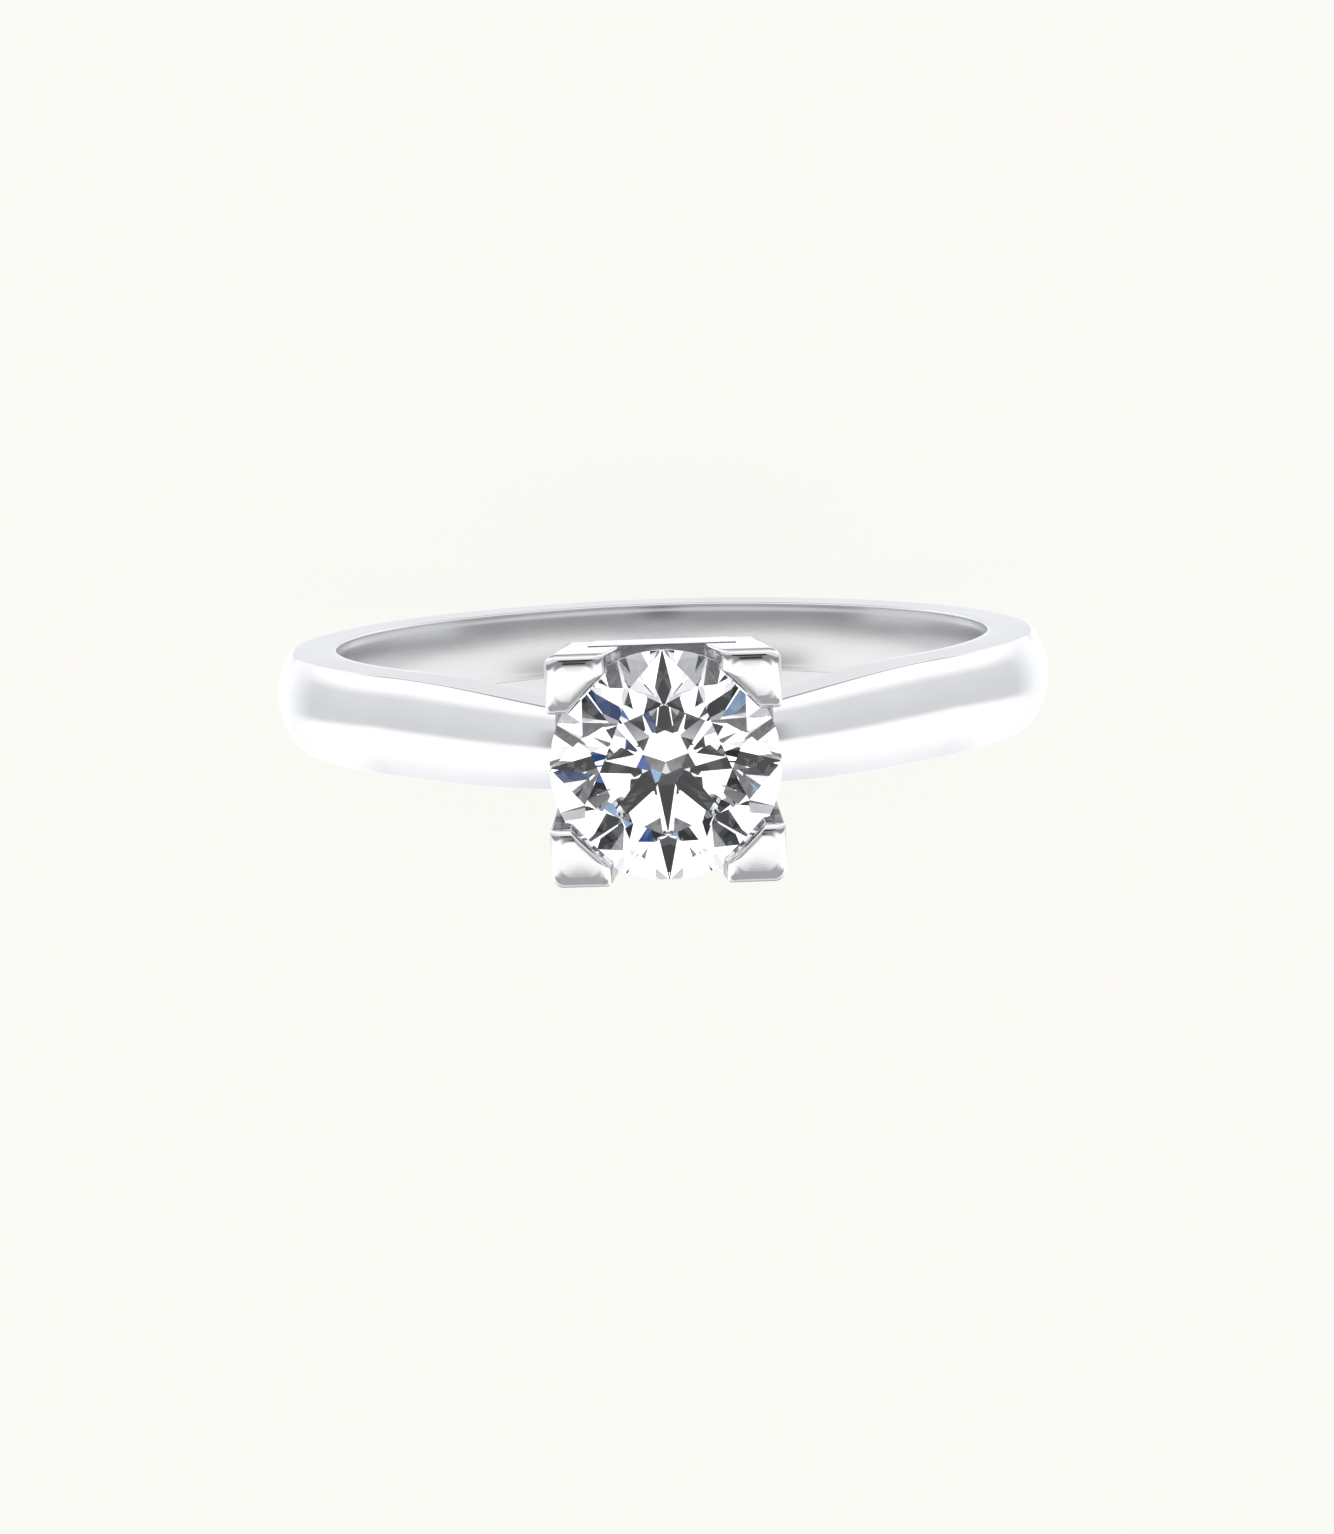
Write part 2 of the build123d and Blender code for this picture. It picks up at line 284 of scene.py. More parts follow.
def platinum(name, line_shade=None, satin_and_shade=0.0):
    """Platinum with faint wear. The tone given for file lines lays them on the walls that face the axis, where
    their darkness is also painted shade; the matt share, from 0 to 1, roughens it and paints its colour darker as
    shade.
    """
    m, n = new_material(name)
    shader = n.add("ShaderNodeBsdfPrincipled")
    shader.inputs["Metallic"].default_value = 1.0
    place = n.add("ShaderNodeTexCoord").outputs["Object"]
    cloud = n.noise(place, 420.0)
    fine = n.noise(place, 5200.0, 2.0)
    # A matt finish is also painted darker here: painted shade for the inside of the band.
    light = 1.0 - 0.22 * satin_and_shade
    dark, bright = (tuple(c * light for c in colour) for colour in (METAL_DARK, METAL_LIGHT))
    tint = n.ramp(cloud, [(0.3, dark), (0.7, bright)])
    hair = n.noise(n.stretched(place, (900.0, 22000.0, 900.0)), 1.0, 2.0)
    wear = n.maths("MULTIPLY_ADD", cloud, 0.06, (0.03 if line_shade is None else 0.10) + 0.28 * satin_and_shade)
    n.link(n.maths("MULTIPLY_ADD", hair, 0.03, wear), shader.inputs["Roughness"])
    height = n.maths("ADD", n.maths("MULTIPLY", fine, 0.3), hair)
    if line_shade is not None:
        height, tint = file_lines_and_shade(n, place, height, tint, line_shade)
    n.link(tint, shader.inputs["Base Color"])
    bump = n.add("ShaderNodeBump")
    bump.inputs["Strength"].default_value = 0.02 if line_shade is None else 0.5
    bump.inputs["Distance"].default_value = BUMP_DISTANCE
    n.link(height, bump.inputs["Height"])
    n.link(bump.outputs[0], shader.inputs["Normal"])
    out = n.add("ShaderNodeOutputMaterial")
    n.link(shader.outputs[0], out.inputs[0])
    return m


DIAMOND_IOR = 2.418
FACET_SHINE = (0.28, 0.28, 0.29, 1)  # holds back the outer reflections, which would hide the dark arrows


def diamond_material(name, girdle=False):
    """Clear stone with polished facets, or its finely ground girdle."""
    m, n = new_material(name)
    shader = n.add("ShaderNodeBsdfPrincipled")
    shader.inputs["Transmission Weight"].default_value = 1.0
    shader.inputs["IOR"].default_value = DIAMOND_IOR
    shader.inputs["Specular Tint"].default_value = FACET_SHINE
    place = n.add("ShaderNodeTexCoord").outputs["Object"]
    cloud = n.noise(place, 600.0)
    tint = n.ramp(cloud, [(0.3, (0.985, 0.992, 1.0)), (0.7, (1.0, 1.0, 1.0))])
    n.link(tint, shader.inputs["Base Color"])
    if girdle:
        n.link(n.maths("MULTIPLY_ADD", n.noise(place, 9000.0), 0.2, 0.15), shader.inputs["Roughness"])
    else:
        shader.inputs["Roughness"].default_value = 0.0
    out = n.add("ShaderNodeOutputMaterial")
    n.link(shader.outputs[0], out.inputs[0])
    return m


polished = platinum("platinum_polished")
# File lines whose dark tone is painted shade, darkest on the claws' flanks.
lined_shaded = platinum("platinum_lined_shaded", line_shade=0.40)
flank_shaded = platinum("platinum_flank_shaded", line_shade=0.10)
satin_and_shade = platinum("platinum_satin_shaded", satin_and_shade=0.6)
diamond_clear = diamond_material("diamond_polished")
diamond_girdle = diamond_material("diamond_bruted_girdle", girdle=True)


# ---- shank ----

BACK_WIDTH, SHOULDER_WIDTH, TIP_WIDTH = 1.92, 2.52, 1.90
SIDE_WALL, DOME_RISE = 1.26, 0.42
TIP_WALL, TIP_RISE = 0.86, 0.27
LIP_ROUND, LIP_SLOPE, LIP_FLAT, CORNER_ROUND = 0.15, math.radians(25.0), 0.02, 0.10
INNER_CROWN = 0.09  # the inside stands this much closer to the finger at its middle than at its lips
INSIDE_COLUMNS = 14  # faces from the middle of the inside that are matt and painted a shade darker, on each side
LEAVE = math.radians(46.0)
WIDEST, NARROW = 0.76, 0.10
TIP_SLOPE = math.radians(45.0)
TIP_ABOVE_FOOT = 0.08
ROUND_STEPS, SWEEP_STEPS = 260, 120
RUN_ON = 0.1  # the shoulders are first swept this far beyond the rail's face
CUT_SHORT = 0.01  # and then cut off this far inside it
NEAR_RAIL = 0.5  # how far below the rail's foot that cut reaches
QUARTER = math.radians(90)


def ease(share):
    """Smooth step from 0 to 1."""
    share = min(max(share, 0.0), 1.0)
    return share * share * (3 - 2 * share)


def shank_stations():
    """(x, z, outward, share of the whole length) along one half, from the back to the shoulder's end."""
    stations = []
    for i in range(ROUND_STEPS + 1):
        a = math.pi + (LEAVE - math.pi) * i / ROUND_STEPS
        stations.append((BORE * math.sin(a), BORE * math.cos(a), (math.sin(a), math.cos(a))))
    meet_z = RAIL_FOOT + TIP_ABOVE_FOOT
    meet_x = HEAD_HALF - (CLAW_TOP - meet_z) * DRAFT
    inside = (TIP_WALL + TIP_RISE) * math.sin(TIP_SLOPE) + RUN_ON
    start = Vector((BORE * math.sin(LEAVE), BORE * math.cos(LEAVE)))
    end = Vector((meet_x - inside, meet_z + inside * math.tan(TIP_SLOPE)))
    reach = (end - start).length / 3
    guides = [
        start,
        start + reach * Vector((-math.cos(LEAVE), math.sin(LEAVE))),
        end + reach * Vector((math.cos(TIP_SLOPE), -math.sin(TIP_SLOPE))),
        end,
    ]
    for i in range(1, SWEEP_STEPS + 1):
        t = i / SWEEP_STEPS
        u = 1 - t
        p = guides[0] * u**3 + guides[1] * 3 * t * u * u + guides[2] * 3 * t * t * u + guides[3] * t**3
        first, second, third = (b - a for a, b in zip(guides, guides[1:]))
        d = first * u * u + second * 2 * t * u + third * t * t
        d.normalize()
        stations.append((p.x, p.y, (d.y, -d.x)))
    lengths = [0.0]
    for a, b in zip(stations, stations[1:]):
        lengths.append(lengths[-1] + math.hypot(b[0] - a[0], b[1] - a[1]))
    return [(*s, length / lengths[-1]) for s, length in zip(stations, lengths)]


def shank_section(share):
    """Half the D section as (y, height) from the middle of the inside to the middle of the dome."""
    rise = ease((share - NARROW) / (WIDEST - NARROW))
    width = BACK_WIDTH + (SHOULDER_WIDTH - BACK_WIDTH) * rise
    taper = max(0.0, (share - WIDEST) / (1 - WIDEST)) ** 2
    width += (TIP_WIDTH - SHOULDER_WIDTH) * taper
    wall = SIDE_WALL + (TIP_WALL - SIDE_WALL) * taper
    crown = DOME_RISE + (TIP_RISE - DOME_RISE) * taper
    half = width / 2
    radius = (half**2 + crown**2) / (2 * crown)
    centre = wall + crown - radius
    corner_y = half - CORNER_ROUND
    corner_z = centre + math.sqrt((radius - CORNER_ROUND) ** 2 - corner_y**2)
    lean = math.atan2(corner_y, corner_z - centre)
    lip_y = half - LIP_ROUND * (1 - math.sin(LIP_SLOPE))
    lip_z = LIP_FLAT + LIP_ROUND * math.cos(LIP_SLOPE)
    points = [(lip_y * k / 10, INNER_CROWN * (k / 10) ** 2) for k in range(10)]
    for k in range(9):
        a = LIP_SLOPE + (QUARTER - LIP_SLOPE) * k / 8
        height = lip_z - LIP_ROUND * math.cos(a) + INNER_CROWN * (1 - k / 8)
        points.append((half - LIP_ROUND * (1 - math.sin(a)), height))
    for k in range(1, 4):
        points.append((half, lip_z + (corner_z - lip_z) * k / 4))
    for k in range(9):
        a = QUARTER + (lean - QUARTER) * k / 8
        points.append((corner_y + CORNER_ROUND * math.sin(a), corner_z + CORNER_ROUND * math.cos(a)))
    for k in range(1, 17):
        a = lean * (1 - k / 16)
        points.append((radius * math.sin(a), centre + radius * math.cos(a)))
    return points


def make_shank():
    """Band and shoulders in one skin, cut off inside the rail; material 1 marks the inside."""
    loops = []
    stations = shank_stations()
    order = [(s, 1) for s in reversed(stations)] + [(s, -1) for s in stations[1:]]
    for (x, z, outward, share), sign in order:
        half = shank_section(share)
        ring = half + [(-y, h) for y, h in reversed(half[1:-1])]
        loops.append([(sign * (x + outward[0] * h), y, z + outward[1] * h) for y, h in ring])
    bm = loft(loops)
    columns = len(loops[0])
    for k, face in enumerate(bm.faces):
        from_middle = min(k % columns, columns - 1 - k % columns)
        if from_middle < INSIDE_COLUMNS:
            face.material_index = 1
    lean = math.atan(DRAFT)
    for sign in (1, -1):
        on_cut = Vector((sign * (RAIL_TOP_HALF - CUT_SHORT), 0, RAIL_TOP))
        away = Vector((sign * math.cos(lean), 0, -math.sin(lean)))
        cut = bmesh.ops.bisect_plane(
            bm,
            geom=list(bm.verts) + list(bm.edges) + list(bm.faces),
            plane_co=on_cut,
            plane_no=away,
        )
        bmesh.ops.split_edges(bm, edges=edges_of(cut))
        inner = []
        for face in bm.faces:
            centre = face.calc_center_median()
            by_rail = centre.z > RAIL_FOOT - NEAR_RAIL and centre.x * sign > 0
            if by_rail and (centre - on_cut).dot(away) < 0:
                inner.append(face)
        bmesh.ops.delete(bm, geom=inner, context="FACES")
        rim = [e for e in bm.edges if len(e.link_faces) == 1]
        bmesh.ops.contextual_create(bm, geom=rim)
    bmesh.ops.remove_doubles(bm, verts=bm.verts, dist=1e-6)
    obj = new_object("shank_band", bm)
    smooth(obj)
    return obj


# ---- stone ----

TABLE_SHARE, STAR_SHARE, LOWER_SHARE, GIRDLE_SHARE = 0.57, 0.50, 0.77, 0.030
CROWN_SLOPE, PAVILION_SLOPE = math.tan(math.radians(34.5)), math.tan(math.radians(40.8))
FOLD = 8  # main facets round the stone
STEP = 360 // FOLD


def make_stone():
    """Round brilliant: a turned blank ground flat facet by facet."""
    half_girdle = GIRDLE_SHARE * STONE_R
    table_r = TABLE_SHARE * STONE_R
    top_edge, low_edge = GIRDLE_Z + half_girdle, GIRDLE_Z - half_girdle
    table_z = top_edge + CROWN_SLOPE * (STONE_R - table_r)
    culet_z = low_edge - PAVILION_SLOPE * STONE_R
    half_step = math.radians(STEP / 2)
    table_flat = table_r * math.cos(half_step)
    star_r = table_flat + STAR_SHARE * (STONE_R - table_flat)
    star_z = top_edge + CROWN_SLOPE * (STONE_R - star_r * math.cos(half_step))
    tip_r = (1 - LOWER_SHARE) * STONE_R
    tip_z = culet_z + PAVILION_SLOPE * tip_r * math.cos(half_step)

    def at(radius, degrees, z):
        a = math.radians(degrees)
        return Vector((radius * math.cos(a), radius * math.sin(a), z))

    bm = bmesh.new()
    bmesh.ops.create_cone(
        bm,
        cap_ends=True,
        segments=256,
        radius1=STONE_R,
        radius2=STONE_R,
        depth=table_z - culet_z,
        matrix=Matrix.Translation((0, 0, (table_z + culet_z) / 2)),
    )
    middle = Vector((0, 0, GIRDLE_Z))

    def grind(a, b, c):
        """One flat facet through three points."""
        normal = (b - a).cross(c - a).normalized()
        if (middle - a).dot(normal) > 0:
            normal.negate()
        cut = bmesh.ops.bisect_plane(
            bm,
            geom=list(bm.verts) + list(bm.edges) + list(bm.faces),
            dist=1e-7,
            plane_co=a,
            plane_no=normal,
            clear_outer=True,
        )
        bmesh.ops.contextual_create(bm, geom=[e for e in edges_of(cut) if len(e.link_faces) == 1])

    for k in range(FOLD):
        main, ridge = STEP * k, STEP * (k + 0.5)
        along = Vector((-math.sin(math.radians(main)), math.cos(math.radians(main)), 0))
        edge_up, edge_down = at(STONE_R, main, top_edge), at(STONE_R, main, low_edge)
        grind(at(table_r, main, table_z), edge_up, edge_up + along)
        grind(Vector((0, 0, culet_z)), edge_down, edge_down + along)
        star = at(star_r, ridge, star_z)
        grind(star, at(table_r, main, table_z), at(table_r, main + STEP, table_z))
        tip = at(tip_r, ridge, tip_z)
        for side in (main, main + STEP):
            grind(star, at(STONE_R, side, top_edge), at(STONE_R, ridge, top_edge))
            grind(tip, at(STONE_R, side, low_edge), at(STONE_R, ridge, low_edge))
    bmesh.ops.remove_doubles(bm, verts=bm.verts, dist=1e-5)
    return new_object("diamond_facets", bm)


# ---- head ----

CLAW_WIDTH_FOOT, CLAW_WIDTH_TOP = 1.61, 1.43
CLAW_GRIP_TOP = 0.115  # the slanted face stands this far inside the stone's edge, at its top
CLAW_FACE_LEAN = math.radians(11.0)
OUTER_ROUND, FLANK_ROUND, SMALL_ROUND = 0.30, 0.09, 0.05
CORNER_STEPS = 8
RIM_IN, RIM_DOWN, RIM_TURN = 0.20, 0.20, math.radians(84)
PAD_DOWN = 0.022  # from the pad's middle to the end of its rim
PAD_EDGE_UP, PAD_EDGE_IN = 0.0032, 0.020
SIDE_STEPS, RIM_STEPS, PAD_EDGE_STEPS, PAD_STEPS = 7, 13, 3, 12
CLAW_LIFT = 0.004  # a claw starts this far above the rail
LEG_OVERLAP = 0.2  # and its leg runs on this far into it
LEG_DEEP = 0.1  # a leg starts this far inside the finger hole, which then trims it


def claw_loop(z, outer, width, face, inset):
    """Claw seen from above, shrunk by an inset: rounded outer corner, small rounds elsewhere."""
    near = outer - width + inset
    far = outer - inset
    line = face * math.sqrt(2) + inset * 0.5
    corners = [(near, line - near), (near, far), (far, far), (far, near), (line - near, near)]
    small, side = SMALL_ROUND + inset * 0.15, FLANK_ROUND + inset * 0.60
    radii = [small, side, OUTER_ROUND - inset * 0.15, side, small]
    return [(p.x, p.y, z) for p in rounded_polygon(corners, radii, CORNER_STEPS)]


def leg_loop(z, outer):
    """Square leg seen from above."""
    inner = outer - LEG_SIDE
    corners = [(inner, inner), (inner, outer), (outer, outer), (outer, inner)]
    radii = [SMALL_ROUND, SMALL_ROUND, OUTER_ROUND, SMALL_ROUND]
    return [(p.x, p.y, z) for p in rounded_polygon(corners, radii, CORNER_STEPS)]


def make_claw(node, across, along, tools):
    """Claw and leg for the corner with these signs of x and y, with the tools cut out of it."""
    face_top = STONE_R - CLAW_GRIP_TOP
    face_foot = face_top - (CLAW_TOP - RAIL_TOP) * math.tan(CLAW_FACE_LEAN)

    def loop(z, inset):
        t = (z - RAIL_TOP) / (CLAW_TOP - RAIL_TOP)
        return claw_loop(
            z,
            RAIL_TOP_HALF + (HEAD_HALF - RAIL_TOP_HALF) * t,
            CLAW_WIDTH_FOOT + (CLAW_WIDTH_TOP - CLAW_WIDTH_FOOT) * t,
            face_foot + (face_top - face_foot) * t,
            inset,
        )

    loops = [loop(RAIL_TOP + CLAW_LIFT, 0.0)]
    for k in range(1, SIDE_STEPS + 1):
        loops.append(loop(RAIL_TOP + (CLAW_TOP - RIM_DOWN - RAIL_TOP) * k / SIDE_STEPS, 0.0))
    for k in range(1, RIM_STEPS + 1):
        a = RIM_TURN * k / RIM_STEPS
        drop = PAD_DOWN + (RIM_DOWN - PAD_DOWN) * (1 - math.sin(a))
        loops.append(loop(CLAW_TOP - drop, RIM_IN * (1 - math.cos(a))))
    for k in range(1, PAD_EDGE_STEPS + 1):
        loops.append(loop(CLAW_TOP - PAD_DOWN + PAD_EDGE_UP * k, RIM_IN + PAD_EDGE_IN * k))
    last = [Vector(p[:2]) for p in loops[-1]]
    top_z = loops[-1][0][2]
    middle = sum(last, Vector((0, 0))) / len(last)
    reach = sum((p - middle).length for p in last) / len(last)
    for k in range(1, PAD_STEPS):
        s = 1 - k / PAD_STEPS
        height = top_z + (CLAW_TOP - top_z) * (1 - s * s)
        ring = [middle + s * (s * (p - middle) + (1 - s) * reach * (p - middle).normalized()) for p in last]
        loops.append([(p.x, p.y, height) for p in ring])
    head = new_object(node + "_head", loft(loops))
    foot_z = math.sqrt(BORE**2 - BASE_FOOT_HALF**2) - LEG_DEEP
    levels = [
        (foot_z, BASE_FOOT_HALF),
        (BASE_TOP, BASE_TOP_HALF),
        (RAIL_FOOT, RAIL_FOOT_HALF),
        (RAIL_TOP, RAIL_TOP_HALF),
        (RAIL_TOP + LEG_OVERLAP, RAIL_TOP_HALF + LEG_OVERLAP * DRAFT),
    ]
    leg = new_object(node + "_leg", loft([leg_loop(z, outer) for z, outer in levels]))
    add_boolean(head, leg, "UNION")
    apply_modifiers(head)
    bpy.data.objects.remove(leg)
    head.data.transform(Matrix.Diagonal((across, along, 1, 1)))
    if across * along < 0:
        head.data.flip_normals()
    for tool in tools:
        add_boolean(head, tool, "DIFFERENCE")
    apply_modifiers(head)
    head.name = node + "_smooth"
    smooth(head, 28)
    return head


def bore_cutter():
    """The finger hole as a solid, longer than the head is wide."""
    bm = bmesh.new()
    bmesh.ops.create_cone(
        bm,
        cap_ends=True,
        segments=512,
        radius1=BORE,
        radius2=BORE,
        depth=8,
        matrix=Matrix.Rotation(math.radians(90), 4, "X"),
    )
    return new_object("bore_cutter", bm)


def dress(obj, node, slot, *materials):
    """Give a piece its materials, which puts every face back on the first, and its place in the frame."""
    obj.data.materials.clear()
    for m in materials:
        obj.data.materials.append(m)
    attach(obj, "root")
    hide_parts(node)


stone = make_stone()
stone_cutter = stone.copy()
stone_cutter.data = stone.data.copy()
stone_cutter.name = "stone_cutter"
bpy.context.scene.collection.objects.link(stone_cutter)
BEARING_PLAY = 1.004  # the claws' bearings are cut this much larger than the stone
middle = Vector((0, 0, GIRDLE_Z * MM))
grow = Matrix.Translation(middle) @ Matrix.Scale(BEARING_PLAY, 4) @ Matrix.Translation(-middle)
stone_cutter.data.transform(grow)
bore_tool = bore_cutter()

shank = make_shank()
finish = [polygon.material_index for polygon in shank.data.polygons]
# The inside takes the matt platinum, painted a shade darker.
dress(shank, "shank", "polished_platinum", polished, satin_and_shade)
shank.data.polygons.foreach_set("material_index", finish)
dress(stone, "diamond", "diamond", diamond_clear, diamond_girdle)
for polygon in stone.data.polygons:  # the upright faces are the girdle
    if abs(polygon.normal.z) < 0.01:
        polygon.material_index = 1
for node, across, along in (
    ("claw_left_rear", -1, 1),
    ("claw_right_rear", 1, 1),
    ("claw_left_front", -1, -1),
    ("claw_right_front", 1, -1),
):
    claw = make_claw(node, across, along, [stone_cutter, bore_tool])
    dress(claw, node, "polished_platinum", polished, flank_shaded)
    for polygon in claw.data.polygons:  # the flat flanks towards the next claws carry the file lines, with their dark tone painted as shade
        normal = polygon.normal
        flank_x = normal.x * across < -0.9 and abs(normal.y) < 0.2
        flank_y = normal.y * along < -0.9 and abs(normal.x) < 0.2
        if (flank_x or flank_y) and RAIL_TOP < polygon.center.z / MM < CLAW_TOP:
            polygon.material_index = 1
bpy.data.objects.remove(stone_cutter)
bpy.data.objects.remove(bore_tool)

EDGE_ROUND = 0.035 * MM
# The rail's walls that face the axis get file lines, their dark tone painted as shade.
for node, material in (("gallery_rail", lined_shaded), ("base_collet", polished)):
    obj = frame["nodes"][node]
    obj.data.materials.clear()
    obj.data.materials.append(material)
    bevel = obj.modifiers.new("edge", "BEVEL")
    bevel.width = EDGE_ROUND
    bevel.segments = 3
    bevel.limit_method = "ANGLE"
    bevel.angle_limit = math.radians(40)
    bevel.harden_normals = True


# ---- floor, light, camera ----

CREAM = (0.965, 0.956, 0.913)
FLOOR_COLOUR, FLOOR_SHADE = (0.93, 0.92, 0.88, 1), (0.79, 0.80, 0.81)
FLOOR_GLOW, GLOW_SHARE = 1.07, 0.8
FLOOR_GAP = 0.01
SHADE_MIDDLE, SHADE_HALF_LENGTH, SHADE_HALF_WIDTH = -0.9 * MM, 8.0 * MM, 1.7 * MM


def make_floor():
    """Backdrop that mostly glows by itself, with a soft oval shade under the band."""
    bm = bmesh.new()
    bmesh.ops.create_grid(bm, x_segments=4, y_segments=4, size=400)
    bmesh.ops.translate(bm, verts=bm.verts, vec=(0, 0, cad_low.z / MM - FLOOR_GAP))
    obj = new_object("floor", bm)
    m, n = new_material("studio_floor")
    diffuse = n.add("ShaderNodeBsdfDiffuse")
    diffuse.inputs["Color"].default_value = FLOOR_COLOUR
    glow = n.add("ShaderNodeEmission")
    glow.inputs["Strength"].default_value = FLOOR_GLOW
    mix = n.add("ShaderNodeMixShader")
    mix.inputs[0].default_value = GLOW_SHARE
    place = n.add("ShaderNodeTexCoord").outputs["Object"]
    oval = n.add("ShaderNodeMapping", vector_type="TEXTURE")
    oval.inputs["Location"].default_value = (0, SHADE_MIDDLE, cad_low.z - FLOOR_GAP * MM)
    oval.inputs["Scale"].default_value = (SHADE_HALF_LENGTH, SHADE_HALF_WIDTH, 1.0)
    n.link(place, oval.inputs["Vector"])
    reach = n.add("ShaderNodeVectorMath", operation="LENGTH")
    n.link(oval.outputs[0], reach.inputs[0])
    shade = n.ramp(reach.outputs["Value"], [(0.55, FLOOR_SHADE), (1.0, CREAM)])
    n.link(shade, glow.inputs["Color"])
    n.link(diffuse.outputs[0], mix.inputs[1])
    n.link(glow.outputs[0], mix.inputs[2])
    out = n.add("ShaderNodeOutputMaterial")
    n.link(mix.outputs[0], out.inputs[0])
    obj.data.materials.append(m)
    obj.visible_glossy = False
    obj.visible_transmission = False


make_floor()

LENS_BLACK = 0.015
LENS_OVER_METAL, LENS_OVER_STONE = (0, 0.24, 1.0), (0, 0.14, 1.0)
STONE_SKY = (  # place from straight down to straight up, and the grey there
    (0.40, 0.06),
    (0.56, 0.5),
    (0.74, 1.4),
    (0.80, 0.16),
    (0.85, 0.16),
    (0.88, 1.6),
)
GLINTS = (  # direction, degrees to the full and to no colour, colour
    ((-0.25, 0.13, 0.96), 2.8, 4.0, (0.01, 0.035, 0.13)),
    ((0.15, 0.28, 0.95), 3.6, 5.2, (0.28, 0.42, 0.68)),
    ((0.18, 0.05, 0.98), 2.6, 3.9, (0.015, 0.08, 0.32)),
)


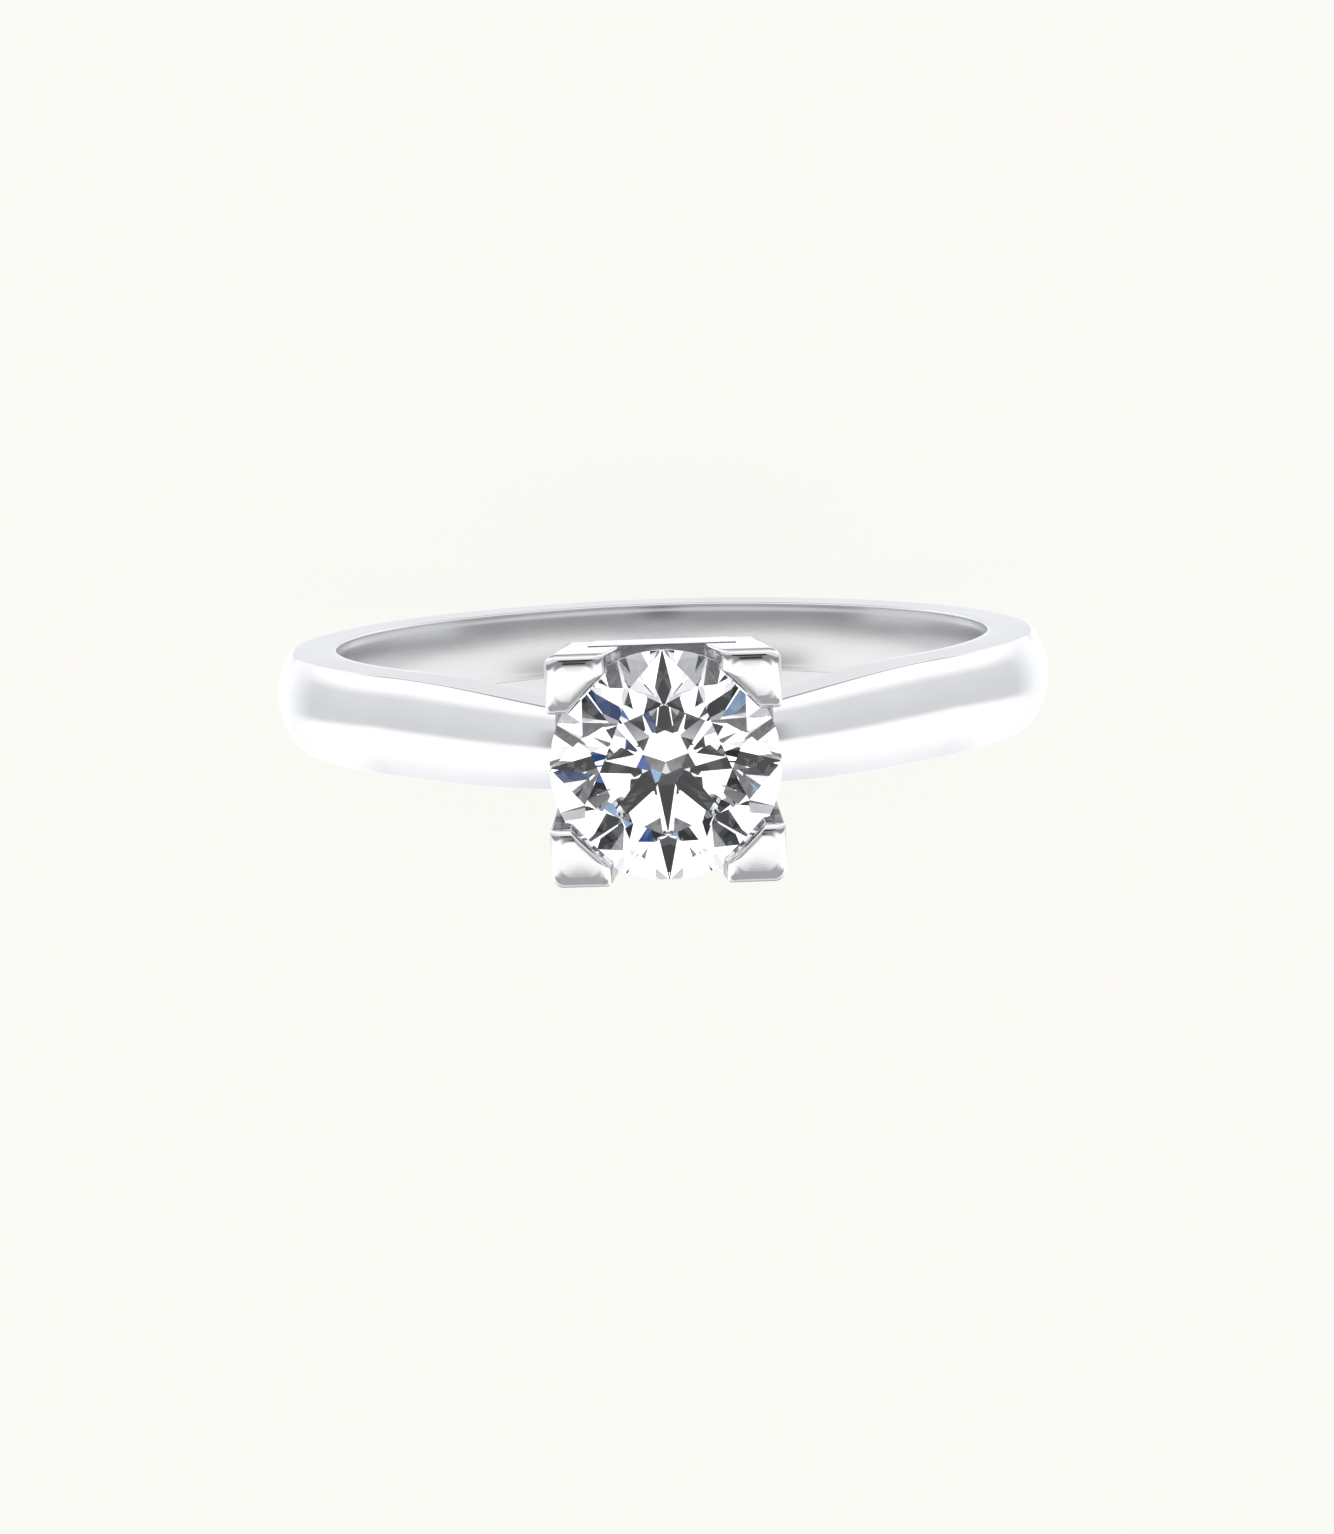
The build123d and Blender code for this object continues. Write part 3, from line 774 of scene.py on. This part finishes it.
def make_world():
    """Made-up studio: a plain backdrop, a soft surround for the metal and a ringed sky seen through the stone."""
    world = bpy.data.worlds.new("studio")
    bpy.context.scene.world = world
    world.use_nodes = True
    n = Nodes(world.node_tree)
    path = n.add("ShaderNodeLightPath")
    direction = n.add("ShaderNodeTexCoord").outputs["Generated"]
    axes = n.add("ShaderNodeSeparateXYZ")
    n.link(direction, axes.inputs[0])
    x, y, z = axes.outputs

    def mix(factor, a, b):
        node = n.add("ShaderNodeMix", data_type="RGBA", blend_type="MIX")
        for socket, value in zip((node.inputs[0], node.inputs[6], node.inputs[7]), (factor, a, b)):
            if isinstance(value, (int, float)):
                socket.default_value = value
            elif isinstance(value, tuple):
                socket.default_value = (*value, 1)
            else:
                n.link(value, socket)
        return node.outputs[2]

    def grey(level):
        return (level * 0.975, level * 0.99, level * 1.02)

    def smoothstep(value, low, high):
        node = n.add("ShaderNodeMapRange", interpolation_type="SMOOTHSTEP")
        node.inputs["From Min"].default_value = low
        node.inputs["From Max"].default_value = high
        n.link(value, node.inputs["Value"])
        return node.outputs[0]

    def near(centre, full, none):
        """1 within the first angle of a direction, 0 beyond the second, both in degrees."""
        dot = n.add("ShaderNodeVectorMath", operation="DOT_PRODUCT")
        n.link(direction, dot.inputs[0])
        dot.inputs[1].default_value = Vector(centre).normalized()
        return smoothstep(dot.outputs["Value"], math.cos(math.radians(none)), math.cos(math.radians(full)))

    # Metal: white in front of the ring, grey behind it.
    white = (1.25, 1.25, 1.25)
    level = n.maths("MULTIPLY_ADD", n.maths("SUBTRACT", 1.0, z), 0.09, y)
    rear = n.ramp(n.maths("MULTIPLY_ADD", y, 0.5, 0.5), [(0.5, grey(0.80)), (0.62, grey(0.86)), (0.8, grey(0.92))])
    behind = smoothstep(level, -0.08, 0.02)
    surround = mix(behind, white, rear)
    # Towards each end of the finger: a light band, then grey, darker below the horizon.
    horizon = n.maths("SUBTRACT", y, n.maths("MULTIPLY", z, 0.33))
    surround = mix(smoothstep(horizon, 0.38, 0.55), surround, (1.3, 1.3, 1.3))
    ends = mix(smoothstep(z, -0.16, 0.06), grey(0.42), grey(0.85))
    surround = mix(smoothstep(horizon, 0.70, 0.88), surround, ends)
    surround = mix(smoothstep(y, -0.44, -0.72), surround, grey(1.02))
    surround = mix(smoothstep(y, -0.74, -0.90), surround, ends)
    # A dark arch overhead from side to side, which stops above the horizon.
    arch = n.maths("MULTIPLY", behind, smoothstep(y, 0.34, 0.20))
    arch = n.maths("MULTIPLY", arch, smoothstep(z, 0.08, 0.30))
    surround = mix(arch, surround, grey(0.32))
    # Light from below, greyer to the rear.
    surround = mix(smoothstep(z, -0.60, -0.88), surround, grey(1.15))
    side = n.maths("MULTIPLY", smoothstep(z, -0.90, -0.95), smoothstep(y, 0.04, 0.09))
    surround = mix(side, surround, grey(0.90))
    # Grey high in front, which the claws' pads show.
    front = n.maths("MULTIPLY", smoothstep(y, -0.22, -0.40), smoothstep(z, 0.4, 0.6))
    surround = mix(n.maths("MULTIPLY", front, 0.9), surround, grey(0.34))
    pad = n.maths("MULTIPLY", smoothstep(y, -0.15, -0.30), smoothstep(n.maths("ABSOLUTE", x), 0.42, 0.25))
    pad = n.maths("MULTIPLY", pad, smoothstep(z, 0.4, 0.6))
    surround = mix(pad, surround, grey(0.45))
    metal_sky = mix(near(LENS_OVER_METAL, 6, 9), surround, grey(LENS_BLACK))

    # Stone: light and dark rings round the lens, with blue glints.
    rings = [(place, grey(tone)) for place, tone in STONE_SKY]
    stone_sky = n.ramp(n.maths("MULTIPLY_ADD", z, 0.5, 0.5), rings)
    stone_sky = mix(near(LENS_OVER_STONE, 19.5, 21.5), stone_sky, grey(LENS_BLACK))
    for glint, full, none, colour in GLINTS:
        stone_sky = mix(near(glint, full, none), stone_sky, colour)
    through_stone = n.maths("GREATER_THAN", path.outputs["Transmission Depth"], 0.5)
    final = mix(through_stone, metal_sky, stone_sky)
    studio = n.add("ShaderNodeBackground")
    n.link(final, studio.inputs[0])
    plain = n.add("ShaderNodeBackground")
    plain.inputs[0].default_value = (*CREAM, 1)
    choose = n.add("ShaderNodeMixShader")
    n.link(path.outputs["Is Camera Ray"], choose.inputs[0])
    n.link(studio.outputs[0], choose.inputs[1])
    n.link(plain.outputs[0], choose.inputs[2])
    out = n.add("ShaderNodeOutputWorld")
    n.link(choose.outputs[0], out.inputs[0])


make_world()

TILT = math.radians(7.9)
ROLL = math.radians(1.9)
DISTANCE = 150.0
FOCAL_SHARE = 5690.0 / 1534.0  # focal length as a share of the frame's long side
AIM = (0.105, -2.294)  # the frame's middle, this far right and up from the origin
SENSOR = 36.0


def make_camera():
    """Long lens above the ring, leaning along the finger and rolled a little."""
    right = Vector((1, 0, 0))
    up = Vector((0, math.cos(TILT), -math.sin(TILT)))
    back = Vector((0, math.sin(TILT), math.cos(TILT)))
    rolled_right = right * math.cos(ROLL) - up * math.sin(ROLL)
    rolled_up = right * math.sin(ROLL) + up * math.cos(ROLL)
    place = back * DISTANCE
    aim = rolled_right * AIM[0] + rolled_up * AIM[1]
    away = (place - aim).normalized()
    side = rolled_up.cross(away).normalized()
    rise = away.cross(side)
    data = bpy.data.cameras.new("camera")
    data.sensor_width = SENSOR
    data.lens = SENSOR * FOCAL_SHARE
    data.clip_start = 0.001
    data.clip_end = 10.0
    obj = bpy.data.objects.new("camera", data)
    bpy.context.scene.collection.objects.link(obj)
    turn = Matrix((side, rise, away)).transposed().to_4x4()
    obj.matrix_world = Matrix.Translation(place * MM) @ turn
    bpy.context.scene.camera = obj


make_camera()

scene = bpy.context.scene
scene.view_settings.view_transform = "Standard"
scene.cycles.max_bounces = 24
scene.cycles.transmission_bounces = 24
scene.cycles.glossy_bounces = 16
